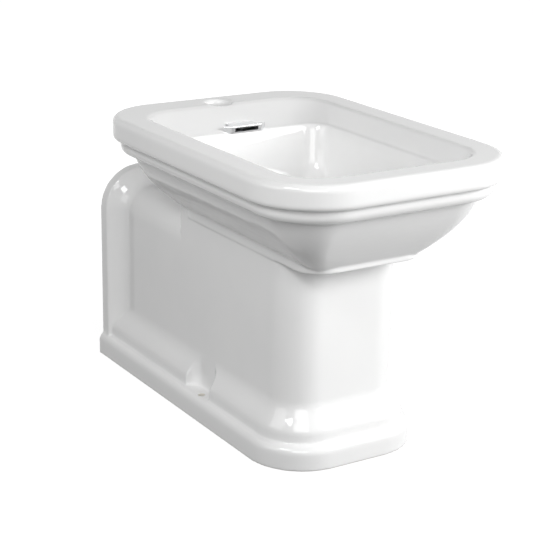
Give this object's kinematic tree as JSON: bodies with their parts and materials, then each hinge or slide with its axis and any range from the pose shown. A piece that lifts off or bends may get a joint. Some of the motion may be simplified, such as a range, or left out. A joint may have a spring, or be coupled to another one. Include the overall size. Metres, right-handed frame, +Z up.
{
  "type": "bidet",
  "caption": "Back-to-wall bidet in glazed china with a stepped rim, a square pedestal, an overflow, a sprung click waste and a bottle trap.",
  "frame": {"origin": "centre of the bounding box's base, on the floor", "axes": "+Z up, -Y toward the user, +Y to the wall, X across; the x = 0 plane is the plane of symmetry"},
  "size_m": [0.37, 0.646, 0.42],
  "materials": {
    "china": "gloss",
    "chrome": "polished",
    "brass": "turned",
    "spring_steel": "bright",
    "rubber": "matte",
    "white_plastic": "semi gloss"
  },
  "bodies": {
    "fixture": {"china_rim": "china", "china_basin": "china", "china_bowl": "china", "china_pedestal": "china", "overflow_cover": "chrome", "overflow_seal": "rubber", "waste_body": "chrome", "waste_top_seal": "rubber", "waste_lower_seal": "rubber", "waste_slip_washer": "white_plastic", "waste_back_nut": "brass", "click_cartridge": "brass", "click_spring": "spring_steel", "trap_inlet_nut": "white_plastic", "trap_inlet_washer": "rubber", "trap_dip_tube": "white_plastic", "trap_body": "white_plastic", "trap_top_nut": "white_plastic", "trap_top_washer": "rubber", "trap_cup": "white_plastic", "trap_cup_seal": "rubber", "outlet_nut": "white_plastic", "outlet_washer": "rubber", "outlet_pipe": "white_plastic"},
    "plug": {"plug_cap": "chrome", "plug_seal": "rubber", "plug_stem": "brass"}
  },
  "joints": [
    {"name": "plug_slide", "type": "slide", "parent": "fixture", "child": "plug", "axis": [0, 0, 1], "range_m": [-0.0078, 0], "stiffness_N_per_m": 600, "springref_m": 0.004, "deforming": ["click_spring"]}
  ]
}
